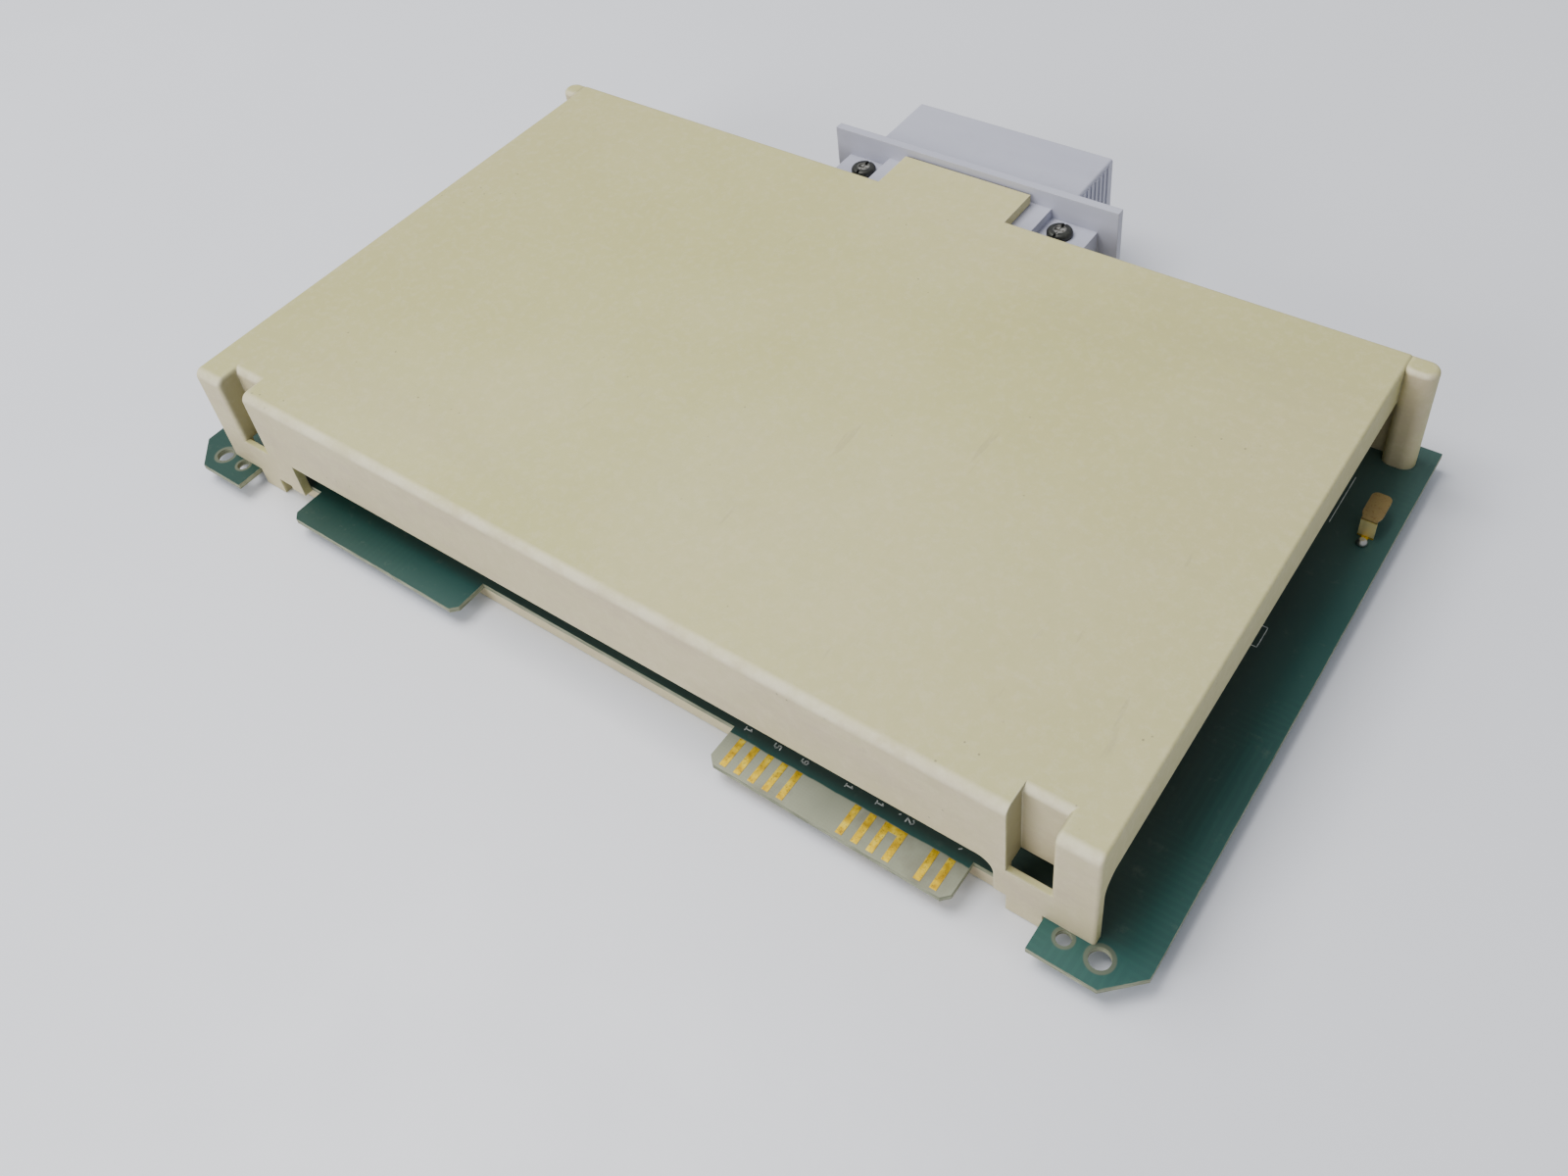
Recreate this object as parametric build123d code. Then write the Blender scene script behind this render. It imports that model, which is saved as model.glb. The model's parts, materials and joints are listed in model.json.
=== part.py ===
from build123d import *
import os

# Plug-in input/output module of a rack controller, lying flat with its component side up.
# +X runs along the board's long edge, +Y from the backplane tongue to the field connector,
# +Z up from the resting plane. Millimetres. The origin is the middle of the bottom of the box.

# ---- driving dimensions -------------------------------------------------------------------
CONTACT_PITCH = 3.96
CONTACT_SLOTS = (1, 2, 3, 4, 5, 9, 10, 11, 12, 14, 15)
FIRST_CONTACT_X = 47.2

BOARD_LENGTH = 296.4
BOARD_THICK = 1.6
BOARD_BOTTOM_Z = 3.9
BOARD_TOP_Z = BOARD_BOTTOM_Z + BOARD_THICK
BOARD_FRONT_Y = -106.5
BOARD_BACK_Y = 67.2
RECESS_Y = -95.9
EAR_WIDTH = 23.4
EAR_CHAMFER = 7.6
EAR_HOLE_Y = -100.5
OUTER_HOLE_X, OUTER_HOLE_R = 138.2, 2.4
INNER_HOLE_X, INNER_HOLE_R = 130.2, 1.7
BLANK_TONGUE = (-101.7, -38.5)
CONTACT_TONGUE = (43.2, 106.6)
TONGUE_CHAMFER = 1.8
CONNECTOR_TAB_HALF = 43.2

CONNECTOR_X = 1.5
FLANGE_LEFT, FLANGE_RIGHT = -45.2, 49.7
FLANGE_Y = 78.2
FLANGE_THICK = 2.6
FLANGE_TOP_Z = 39.6
HOOD_LEFT, HOOD_RIGHT = -32.8, 33.7
HOOD_END_Y = 106.5
HOOD_BOTTOM_Z, HOOD_TOP_Z = 11.0, 35.6
HOOD_WALL = 2.4
SCREW_HALF_SPACING = 33.3
SCREW_Y = 72.4
EAR_TOP_Z = 31.2
BLOCK_TOP_Z = 34.3
PIN_SIZE, PIN_PITCH = 1.0, 5.08
PIN_TIP_Y = 92.0

COVER_HALF = 136.1
COVER_FRONT_Y = -98.7
COVER_BACK_Y = 63.3
COVER_TOP_Z = 37.5
COVER_WALL = 2.5
FRONT_WALL_BOTTOM_Z = 15.7
END_LIP_BOTTOM_Z = 25.9
POCKET_INNER_X, POCKET_OUTER_X = 115.8, 125.9
POCKET_BACK_Y = -92.4
POCKET_FLOOR_Z = 15.2
BOSS_X, BOSS_FRONT_Y, BOSS_BACK_Y, BOSS_R = 123.0, -82.0, 50.0, 4.0

SPRING_X, SPRING_WIDTH = 141.9, 3.9
SPRING_ROOT_Y = 30.4
SPRING_BEND_Z = BOARD_TOP_Z + 6.2
SPRING_METAL, SPRING_BLADE, SPRING_TAIL = 0.4, 5.0, 1.6

os.makedirs("parts", exist_ok=True)


# ---- helpers ------------------------------------------------------------------------------
def block(x0, x1, y0, y1, z0, z1):
    """Box between two opposite corners."""
    return Pos(x0, y0, z0) * Box(x1 - x0, y1 - y0, z1 - z0, align=(Align.MIN,) * 3)


def centred(x, y, z0, length, width, height):
    """Box standing on z0 with its middle at x, y."""
    return block(x - length / 2, x + length / 2, y - width / 2, y + width / 2, z0, z0 + height)


def post(x, y, z0, z1, radius):
    """Vertical cylinder."""
    return Pos(x, y, z0) * Cylinder(radius, z1 - z0, align=(Align.CENTER, Align.CENTER, Align.MIN))


def rod_x(x0, x1, y, z, radius):
    """Cylinder lying along X."""
    return Pos((x0 + x1) / 2, y, z) * Rot(0, 90, 0) * Cylinder(radius, x1 - x0)


def rod_y(x, y0, y1, z, radius):
    """Cylinder lying along Y."""
    return Pos(x, (y0 + y1) / 2, z) * Rot(90, 0, 0) * Cylinder(radius, y1 - y0)


def mirrored(shape):
    """The shape and its mirror image across the YZ plane."""
    return [shape, mirror(shape, about=Plane.YZ)]


def save(name, shapes):
    """Write one node: a single solid, or a group of separate solids."""
    solids = shapes if isinstance(shapes, list) else [shapes]
    pieces = [solid for shape in solids for solid in shape.solids()]
    result = pieces[0] if len(pieces) == 1 else Compound(children=pieces)
    export_step(result, f"parts/{name}.step")


# ---- circuit board ------------------------------------------------------------------------
def tongue(x0, x1):
    """One board tongue, chamfered at its two front corners."""
    c = TONGUE_CHAMFER
    front = BOARD_FRONT_Y
    outline = Polyline(
        (x0, RECESS_Y + 1), (x0, front + c), (x0 + c, front), (x1 - c, front),
        (x1, front + c), (x1, RECESS_Y + 1), close=True,
    )
    return extrude(make_face(outline), BOARD_THICK)


def ear(side):
    """One corner ear with its outer corner cut off."""
    outer = side * BOARD_LENGTH / 2
    inner = side * (BOARD_LENGTH / 2 - EAR_WIDTH)
    cut = outer - side * EAR_CHAMFER
    outline = Polyline(
        (inner, RECESS_Y + 1), (inner, BOARD_FRONT_Y), (cut, BOARD_FRONT_Y),
        (outer, BOARD_FRONT_Y + EAR_CHAMFER), (outer, RECESS_Y + 1), close=True,
    )
    return extrude(make_face(outline), BOARD_THICK)


def circuit_board():
    """Board with two ears, two tongues, a connector tab and its holes."""
    half = BOARD_LENGTH / 2
    board = block(-half, half, RECESS_Y, BOARD_BACK_Y, 0, BOARD_THICK)
    left, right = CONNECTOR_X - CONNECTOR_TAB_HALF, CONNECTOR_X + CONNECTOR_TAB_HALF
    board += block(left, right, BOARD_BACK_Y - 1, FLANGE_Y - 0.1, 0, BOARD_THICK)
    board += ear(-1) + ear(1) + tongue(*BLANK_TONGUE) + tongue(*CONTACT_TONGUE)
    for side in (-1, 1):
        board -= post(side * OUTER_HOLE_X, EAR_HOLE_Y, -1, 3, OUTER_HOLE_R)
        board -= post(side * INNER_HOLE_X, EAR_HOLE_Y, -1, 3, INNER_HOLE_R)
        board -= post(CONNECTOR_X + side * SCREW_HALF_SPACING, SCREW_Y, -1, 3, 1.8)
        for y in (BOSS_FRONT_Y, BOSS_BACK_Y):
            board -= post(side * BOSS_X, y, -1, 3, 1.75)
    return Pos(0, 0, BOARD_BOTTOM_Z) * board


def contact_x(slot):
    """Middle of one contact position on the tongue."""
    return FIRST_CONTACT_X + (slot - 1) * CONTACT_PITCH


def contact_fingers(z):
    """Plated fingers on one face of the tongue; positions 11 and 12 share a bar at their root."""
    length, width, plating = 8.0, 1.7, 0.08
    fingers = [
        centred(contact_x(slot), BOARD_FRONT_Y + 0.8 + length / 2, z, width, length, plating)
        for slot in CONTACT_SLOTS
    ]
    bar_y = BOARD_FRONT_Y + 0.8 + length
    joined = [contact_x(11), contact_x(12)]
    bar = block(joined[0] - width / 2, joined[1] + width / 2, bar_y - width, bar_y, z, z + plating)
    return Compound(children=fingers).fuse(bar)


# ---- covers -------------------------------------------------------------------------------
def front_pocket():
    """Latch pocket beside a front corner: the lining and the hollow inside it."""
    wall = 2.0
    lining = block(
        POCKET_INNER_X - wall, POCKET_OUTER_X + wall, COVER_FRONT_Y + 1, POCKET_BACK_Y + wall,
        POCKET_FLOOR_Z, COVER_TOP_Z - 1,
    )
    hollow = block(
        POCKET_INNER_X, POCKET_OUTER_X, COVER_FRONT_Y - 1, POCKET_BACK_Y,
        POCKET_FLOOR_Z, COVER_TOP_Z + 1,
    )
    window = block(
        POCKET_INNER_X, POCKET_OUTER_X, COVER_FRONT_Y + 1.6, POCKET_BACK_Y,
        POCKET_FLOOR_Z - 3, POCKET_FLOOR_Z + 1,
    )
    return lining, hollow + window


def end_post(reach):
    """Rounded post that stands on the board and reaches past one end of the cover."""
    width, back = 6.6, COVER_BACK_Y
    bar = block(COVER_HALF - 0.5, COVER_HALF + reach, back - width, back, BOARD_TOP_Z, COVER_TOP_Z)
    bar = fillet(bar.edges().filter_by(Axis.Z).group_by(Axis.X)[-1], width / 2 - 0.1)
    inner_corner = bar.edges().filter_by(Axis.Z).sort_by(lambda e: e.center().X + e.center().Y)[0]
    bar = fillet(inner_corner, 2.5)
    rim = bar.edges().group_by(Axis.Z)[-1].filter_by(lambda e: e.center().X > COVER_HALF + 0.1)
    return fillet(rim, 1.4)


def cover_block():
    """Outer form of the cover: a large round along the front, small ones on the other edges."""
    block_form = block(-COVER_HALF, COVER_HALF, COVER_FRONT_Y, COVER_BACK_Y, BOARD_TOP_Z, COVER_TOP_Z)
    top_edges = block_form.edges().filter_by(Axis.X).group_by(Axis.Z)[-1].sort_by(Axis.Y)
    block_form = fillet(top_edges[0], 2.4)
    block_form = fillet(block_form.edges().filter_by(Axis.X).sort_by(lambda e: e.center().Y + e.center().Z)[-1], 1.0)
    end_edges = block_form.edges().filter_by(
        lambda e: abs(e.center().X) > COVER_HALF - 0.01
        and e.center().Z > BOARD_TOP_Z + 1
        and e.center().Y < COVER_BACK_Y - 1
    )
    return fillet(end_edges, 0.8)


def top_cover():
    """Deep shell over the component side, open low along the front and at both ends."""
    half, front, back = COVER_HALF, COVER_FRONT_Y, COVER_BACK_Y
    wall, base = COVER_WALL, BOARD_TOP_Z
    shell = cover_block()
    shell -= block(-half + wall, half - wall, front + wall, back - wall, base - 1, COVER_TOP_Z - wall)

    # low openings: under the front wall and under both end lips
    gap = block(-105.8, 113.0, front - 1, front + wall + 1, base - 1, FRONT_WALL_BOTTOM_Z)
    gap = fillet(gap.edges().filter_by(Axis.Y).group_by(Axis.Z)[-1].sort_by(Axis.X)[-1], 4.0)
    shell -= gap
    side_gap = block(half - wall - 1, half + 1, front + wall, back - wall, base - 1, END_LIP_BOTTOM_Z)
    side_gap = fillet(side_gap.edges().filter_by(Axis.X).group_by(Axis.Z)[-1].sort_by(Axis.Y)[0], 5.0)
    for piece in mirrored(side_gap):
        shell -= piece

    # posts at the far corners, latch pockets at the near ones
    shell += end_post(7.6)
    shell += mirror(end_post(5.6), about=Plane.YZ)
    lining, hollow = front_pocket()
    for piece in mirrored(lining):
        shell += piece
    for piece in mirrored(hollow):
        shell -= piece

    # feet that reach past the board's front edge down to the resting plane
    for x0, x1, bottom in ((115.9, 124.4, 0), (-124.2, -116.2, 0), (-111.0, -105.8, 4.2)):
        shell += block(x0, x1, front, front + wall, bottom, base + 1)

    # tab over the connector and the notch in the back wall that lets the connector through
    tab_half, notch_half = 21.1, 44.6
    shell += block(CONNECTOR_X - tab_half, CONNECTOR_X + tab_half, back - 1, FLANGE_Y - 0.8,
                   BLOCK_TOP_Z + 0.2, COVER_TOP_Z)
    shell -= block(CONNECTOR_X - notch_half, CONNECTOR_X + notch_half, back - wall - 1, back + 1,
                   base - 1, BLOCK_TOP_Z + 0.2)

    # screw bosses
    for x in (-BOSS_X, BOSS_X):
        for y in (BOSS_FRONT_Y, BOSS_BACK_Y):
            shell += post(x, y, base, COVER_TOP_Z - 1, BOSS_R)
            shell -= post(x, y, base - 1, base + 14, 1.6)
    pocket_edges = shell.edges().filter_by(Axis.X).filter_by(
        lambda e: e.center().Z > COVER_TOP_Z - 0.01 and abs(e.center().Y - POCKET_BACK_Y) < 0.01
    )
    shell = fillet(pocket_edges, 2.0)
    outer_rims = shell.edges().filter_by(
        lambda e: abs(abs(e.center().X) - POCKET_OUTER_X) < 0.01
        and e.center().Z > POCKET_FLOOR_Z + 1
        and abs(e.center().X - e.position_at(0).X) < 0.01
        and (e.center().Y < COVER_FRONT_Y + 2.4 or e.center().Z > COVER_TOP_Z - 0.01)
    )
    return fillet(outer_rims, 1.2)


def bottom_cover():
    """Shallow tray under the solder side with its rim against the board."""
    half, front, back, floor = COVER_HALF - 0.5, RECESS_Y + 0.05, COVER_BACK_Y, 1.6
    rim = 2.0
    tray = block(-half, half, front, back, 0, BOARD_BOTTOM_Z)
    tray -= block(-half + rim, half - rim, front + rim, back - rim, floor, BOARD_BOTTOM_Z + 1)
    for x in (-BOSS_X, BOSS_X):
        for y in (BOSS_FRONT_Y, BOSS_BACK_Y):
            tray += post(x, y, 0, BOARD_BOTTOM_Z, 5.5)
            tray -= post(x, y, -1, 2.4, 3.3)
            tray -= post(x, y, 0, BOARD_BOTTOM_Z + 1, 1.75)
    return tray


def cover_screws():
    """Four pan-head screws that hold both covers to the board, driven from below."""
    screws = []
    for x in (-BOSS_X, BOSS_X):
        for y in (BOSS_FRONT_Y, BOSS_BACK_Y):
            head = post(x, y, 0.3, 2.4, 3.0)
            head -= centred(x, y, 0, 4.6, 0.8, 1.2) + centred(x, y, 0, 0.8, 4.6, 1.2)
            screws.append(head + post(x, y, 2.4, 16.5, 1.45))
    return screws


# ---- field connector ----------------------------------------------------------------------
def connector_housing():
    """Right-angle connector moulding: seat block, screw ears, flange and hollow hood."""
    x, base, near = CONNECTOR_X, BOARD_TOP_Z, 60.0
    body = block(x - 27.5, x + 27.5, near, FLANGE_Y, base, BLOCK_TOP_Z)
    body += block(x - 42.1, x + 42.1, near + 4, FLANGE_Y, base, EAR_TOP_Z)
    body += block(FLANGE_LEFT, FLANGE_RIGHT, FLANGE_Y, FLANGE_Y + FLANGE_THICK, BOARD_BOTTOM_Z, FLANGE_TOP_Z)
    hood = block(HOOD_LEFT, HOOD_RIGHT, FLANGE_Y + 1, HOOD_END_Y, HOOD_BOTTOM_Z, HOOD_TOP_Z)
    hood = fillet(hood.edges().filter_by(Axis.Y), 0.8)
    body += hood
    body -= block(HOOD_LEFT + HOOD_WALL, HOOD_RIGHT - HOOD_WALL, FLANGE_Y + 5, HOOD_END_Y + 1,
                  HOOD_BOTTOM_Z + HOOD_WALL, HOOD_TOP_Z - HOOD_WALL)
    for side, end in ((-1, HOOD_LEFT), (1, HOOD_RIGHT)):
        body -= post(x + side * SCREW_HALF_SPACING, SCREW_Y, base - 1, EAR_TOP_Z + 1, 1.8)
        for step in range(9):
            y = FLANGE_Y + FLANGE_THICK + 2.0 + step * 2.54
            body += block(end - 0.35, end + 0.35, y, y + 1.1, HOOD_BOTTOM_Z + 1.5, HOOD_TOP_Z - 1.2)
    for z in pin_rows():
        for pin_x in pin_columns():
            body -= centred(pin_x, FLANGE_Y, z - PIN_SIZE / 2, PIN_SIZE, 45, PIN_SIZE)
    return body


def pin_rows():
    """Heights of the contact rows."""
    middle = (HOOD_BOTTOM_Z + HOOD_TOP_Z) / 2
    return [middle + PIN_PITCH * step for step in (-1, 0, 1)]


def pin_columns():
    """Places of the contacts along the hood."""
    middle = (HOOD_LEFT + HOOD_RIGHT) / 2
    return [middle + PIN_PITCH * step for step in range(-5, 6)]


def connector_pins():
    """Right-angle contacts: a square pin in the hood and a tail down to the board."""
    half = PIN_SIZE / 2
    pins = []
    for row, z in enumerate(pin_rows()):
        tail_y = 56.5 - 3.2 * row
        for x in pin_columns():
            pin = block(x - half, x + half, tail_y, PIN_TIP_Y, z - half, z + half)
            tail = block(x - half, x + half, tail_y, tail_y + PIN_SIZE, BOARD_TOP_Z, z + half)
            pins.append(pin + tail)
    return pins


def connector_screws():
    """Two pan-head screws with a combined slot and cross recess."""
    screws = []
    for side in (-1, 1):
        x = CONNECTOR_X + side * SCREW_HALF_SPACING
        head = post(x, SCREW_Y, EAR_TOP_Z, EAR_TOP_Z + 1.9, 3.75)
        head = fillet(head.edges().group_by(Axis.Z)[-1], 1.1)
        head -= post(x, SCREW_Y, EAR_TOP_Z + 1.45, EAR_TOP_Z + 3, 1.7)
        head -= centred(x, SCREW_Y, EAR_TOP_Z + 1.1, 0.9, 8, 2)
        head -= centred(x, SCREW_Y, EAR_TOP_Z + 0.8, 3.2, 0.9, 2)
        screws.append(head + post(x, SCREW_Y, 1.2, EAR_TOP_Z, 1.7))
    return screws


def connector_nuts():
    """Hexagon nuts under the board on the two connector screws."""
    nuts = []
    for side in (-1, 1):
        x = CONNECTOR_X + side * SCREW_HALF_SPACING
        nut = extrude(Pos(x, SCREW_Y, 1.4) * RegularPolygon(3.6, 6), 2.5)
        nuts.append(nut - post(x, SCREW_Y, 0, 5, 1.75))
    return nuts


# ---- ground spring ------------------------------------------------------------------------
def spring_foot():
    """Fixed leg of the bent contact strip, from its narrow solder tail up to the bend."""
    half, t = SPRING_WIDTH / 2, SPRING_METAL
    x, y, z = SPRING_X, SPRING_ROOT_Y, BOARD_TOP_Z
    tail = block(x - SPRING_TAIL / 2, x + SPRING_TAIL / 2, y - 3.2, y + t, z, z + t)
    return tail + block(x - half, x + half, y, y + t, z, SPRING_BEND_Z - t)


def spring_leaf():
    """Springy upper leaf of the contact strip with a rounded tip."""
    half, t = SPRING_WIDTH / 2, SPRING_METAL
    blade = SPRING_BLADE / 2
    outline = Polyline((-half, 0), (half, 0), (half, 0.8), (blade, 2.2), (blade, 9.6), (-blade, 9.6), (-blade, 2.2),
                       (-half, 0.8), close=True)
    leaf = extrude(make_face(outline), t)
    leaf = fillet(leaf.edges().filter_by(Axis.Z).group_by(Axis.Y)[-1], 1.6)
    return Pos(SPRING_X, SPRING_ROOT_Y, SPRING_BEND_Z - t + 0.02) * Rot(2, 0, 0) * leaf


def spring_solder():
    """Domed solder joint over the strip's tail."""
    y, top = SPRING_ROOT_Y - 2.4, BOARD_TOP_Z + SPRING_METAL
    dome = Pos(SPRING_X, y, top) * Sphere(1.35)
    return dome & centred(SPRING_X, y, top, 4, 4, 1.2)


# ---- parts on the board -------------------------------------------------------------------
def dip_body(x, y, pins, row_spacing):
    """Moulded package of a dual in-line part, its pin rows along X."""
    length, width = pins / 2 * 2.54 - 0.3, row_spacing - 1.3
    body = centred(x, y, BOARD_TOP_Z + 0.6, length, width, 3.3)
    body -= post(x - length / 2, y, BOARD_TOP_Z + 3.0, BOARD_TOP_Z + 5, 0.9)
    return body


def dip_leads(x, y, pins, row_spacing):
    """Both lead rows of a dual in-line part, from the package side down to the board."""
    leads = []
    count = pins // 2
    for index in range(count):
        lead_x = x + (index - (count - 1) / 2) * 2.54
        for side in (-1, 1):
            outer = y + side * row_spacing / 2
            inner = y + side * (row_spacing - 1.3) / 2
            low, high = min(outer, inner), max(outer, inner)
            shoulder = block(lead_x - 0.7, lead_x + 0.7, low, high, BOARD_TOP_Z + 2.1, BOARD_TOP_Z + 2.4)
            shank_y = outer - side * 0.13
            shank = centred(lead_x, shank_y, BOARD_TOP_Z, 0.5, 0.26, 2.4)
            leads.append(shoulder + shank)
    return leads


LOGIC_PLACES = [(-20 + 27 * column, y) for y in (-72, -54) for column in range(4)]
OPTO_PLACES = [(-52 + 15.4 * column, y) for y in (31, 16) for column in range(8)]
CONTROLLER_PLACE = (12, -28)


def logic_packages():
    """Eight 16-pin logic circuits."""
    return [dip_body(x, y, 16, 7.62) for x, y in LOGIC_PLACES]


def logic_leads():
    """Lead frames of the logic circuits."""
    return [lead for x, y in LOGIC_PLACES for lead in dip_leads(x, y, 16, 7.62)]


def optocouplers():
    """Sixteen 6-pin optocouplers, two per pair of field channels."""
    return [dip_body(x, y, 6, 7.62) for x, y in OPTO_PLACES]


def optocoupler_leads():
    """Lead frames of the optocouplers."""
    return [lead for x, y in OPTO_PLACES for lead in dip_leads(x, y, 6, 7.62)]


def controller_socket():
    """Open-frame 40-pin socket."""
    x, y = CONTROLLER_PLACE
    frame = centred(x, y, BOARD_TOP_Z, 51.5, 17.6, 4.2)
    return frame - centred(x, y, BOARD_TOP_Z - 1, 44, 10.5, 7)


def controller_chip():
    """40-pin controller seated in its socket."""
    x, y = CONTROLLER_PLACE
    top = BOARD_TOP_Z + 4.2
    body = centred(x, y, top + 0.1, 51.5, 13.7, 3.6)
    return body - post(x - 51.5 / 2, y, top + 2.6, top + 6, 1.5)


def crystal():
    """Metal-can crystal beside the controller."""
    x, y = 50, -28
    can = centred(x, y, BOARD_TOP_Z + 0.4, 10.2, 3.8, 12.6)
    can = fillet(can.edges().filter_by(Axis.Z), 1.8)
    flange = centred(x, y, BOARD_TOP_Z, 11.0, 4.7, 0.5)
    return can + fillet(flange.edges().filter_by(Axis.Z), 2.2)


def resistor_networks():
    """Four single in-line resistor networks between connector and optocouplers."""
    return [centred(-42 + 29 * index, 45, BOARD_TOP_Z + 1, 22.6, 2.3, 5.0) for index in range(4)]


def axial_resistors():
    """Row of axial resistors with their bent leads."""
    parts = []
    for index in range(16):
        x = -54 + index * 7.2
        body = rod_y(x, -2.6, 5.6, BOARD_TOP_Z + 1.6, 1.25)
        wire = rod_y(x, -5.4, 8.4, BOARD_TOP_Z + 1.6, 0.35)
        legs = post(x, -5.1, BOARD_TOP_Z, BOARD_TOP_Z + 1.9, 0.35)
        legs += post(x, 8.1, BOARD_TOP_Z, BOARD_TOP_Z + 1.9, 0.35)
        parts.append(body + wire + legs)
    return parts


def ceramic_capacitors():
    """Dipped decoupling capacitors, one beside each logic circuit."""
    parts = []
    for x, y in LOGIC_PLACES:
        body = centred(x, y + 7.4, BOARD_TOP_Z + 1.5, 5.2, 2.4, 4.6)
        body = fillet(body.edges(), 1.0)
        legs = post(x - 1.6, y + 7.4, BOARD_TOP_Z, BOARD_TOP_Z + 2, 0.3)
        legs += post(x + 1.6, y + 7.4, BOARD_TOP_Z, BOARD_TOP_Z + 2, 0.3)
        parts.append(body + legs)
    return parts


CAPACITOR_PLACES = [(-112, 30), (-92, 30), (-112, 8)]


def electrolytic_capacitors():
    """Three upright smoothing capacitors in sleeved cans."""
    cans = []
    for x, y in CAPACITOR_PLACES:
        can = post(x, y, BOARD_TOP_Z, BOARD_TOP_Z + 21.0, 8.0)
        can = fillet(can.edges().group_by(Axis.Z)[-1], 1.2)
        groove = post(x, y, BOARD_TOP_Z + 2.6, BOARD_TOP_Z + 4.0, 9.0)
        groove -= post(x, y, BOARD_TOP_Z + 2.0, BOARD_TOP_Z + 5.0, 7.5)
        cans.append(can - groove)
    return cans


def rectifier_diodes():
    """Four rectifier diodes beside the smoothing capacitors."""
    parts = []
    for y in (8, 15, 22, 29):
        body = rod_x(-78, -70, y, BOARD_TOP_Z + 3.0, 2.6)
        wire = rod_x(-81, -67, y, BOARD_TOP_Z + 3.0, 0.6)
        legs = post(-80.4, y, BOARD_TOP_Z, BOARD_TOP_Z + 3.4, 0.6)
        legs += post(-67.6, y, BOARD_TOP_Z, BOARD_TOP_Z + 3.4, 0.6)
        parts.append(body + wire + legs)
    return parts


def power_converter():
    """Potted converter brick."""
    brick = centred(-86, -36, BOARD_TOP_Z, 50.8, 50.8, 12.7)
    return fillet(brick.edges().filter_by(Axis.Z), 2.0)


def transformer_core():
    """Laminated core of the isolating transformer, with its two winding windows."""
    x, y = 105, -40
    core = centred(x, y, BOARD_TOP_Z + 1.5, 32, 12, 20)
    for side in (-1, 1):
        core -= centred(x + side * 8.0, y, BOARD_TOP_Z + 6.5, 5.4, 14, 10)
    return core


def transformer_coil():
    """Taped winding around the core's middle limb."""
    x, y = 105, -40
    coil = centred(x, y, BOARD_TOP_Z + 6.6, 21.2, 22, 9.8)
    coil = fillet(coil.edges().filter_by(Axis.Z), 3.0)
    return coil - centred(x, y, BOARD_TOP_Z, 10.7, 12.1, 26)


def transformer_base():
    """Pinned base plate that carries the transformer."""
    return centred(105, -40, BOARD_TOP_Z, 34, 24, 1.5)


def heat_sink():
    """Extruded heat sink that stands upright behind the regulator."""
    x, y = 104, 22
    sink = centred(x, y, BOARD_TOP_Z, 30, 2.2, 21.5)
    for index in range(7):
        sink += centred(x - 14.1 + index * 4.7, y + 5.5, BOARD_TOP_Z, 1.4, 9, 21.5)
    return sink - rod_y(x, y - 3, y + 2, BOARD_TOP_Z + 17.5, 1.7)


def voltage_regulator():
    """Tab-mounted regulator against the heat sink."""
    x, y, z = 104, 20.9, BOARD_TOP_Z
    tab = block(x - 5, x + 5, y - 1.3, y, z + 5, z + 20.4)
    tab -= rod_y(x, y - 3, y + 1, z + 17.5, 1.8)
    body = block(x - 5, x + 5, y - 4.4, y - 1.3, z + 5, z + 14)
    leads = [block(x + d - 0.4, x + d + 0.4, y - 3, y - 2.5, z, z + 5.1) for d in (-2.54, 0, 2.54)]
    part = tab + body
    for lead in leads:
        part += lead
    return part


def regulator_screw():
    """Screw that clamps the regulator to the heat sink."""
    x, y, z = 104, 19.6, BOARD_TOP_Z + 17.5
    return rod_y(x, y - 2.0, y, z, 2.8) + rod_y(x, y, y + 3.3, z, 1.45)


def fuse_clips():
    """Pair of spring clips for the fuse."""
    clips = []
    for x in (80.5, 95.5):
        clip = centred(x, 48, BOARD_TOP_Z, 4.2, 6.6, 6.4)
        clip -= rod_x(x - 3, x + 3, 48, BOARD_TOP_Z + 4.0, 2.62)
        clip -= centred(x, 48, BOARD_TOP_Z + 4.6, 5, 3.6, 3)
        clips.append(clip)
    return clips


def fuse():
    """Glass cartridge fuse with metal end caps."""
    y, z, cap_radius = 48, BOARD_TOP_Z + 4.0, 2.55
    tube = rod_x(79, 97, y, z, 2.35)
    return tube + rod_x(78.2, 83.2, y, z, cap_radius) + rod_x(92.8, 97.8, y, z, cap_radius)


JUMPER_X, JUMPER_Y = 84, -62


def jumper_header():
    """Two-row pin header for the option jumpers."""
    base = centred(JUMPER_X, JUMPER_Y, BOARD_TOP_Z, 15.2, 5.0, 2.5)
    for index in range(6):
        for side in (-1, 1):
            x = JUMPER_X + (index - 2.5) * 2.54
            base += centred(x, JUMPER_Y + side * 1.27, BOARD_TOP_Z + 2.4, 0.64, 0.64, 6)
    return base


def jumper_shunts():
    """Push-on shunts on three of the header's pin pairs."""
    shunts = []
    for index in (0, 2, 5):
        x = JUMPER_X + (index - 2.5) * 2.54
        shunt = centred(x, JUMPER_Y, BOARD_TOP_Z + 2.6, 2.4, 5.0, 7.0)
        for side in (-1, 1):
            shunt -= centred(x, JUMPER_Y + side * 1.27, BOARD_TOP_Z + 2, 0.66, 0.66, 6.42)
        shunts.append(shunt)
    return shunts


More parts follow.
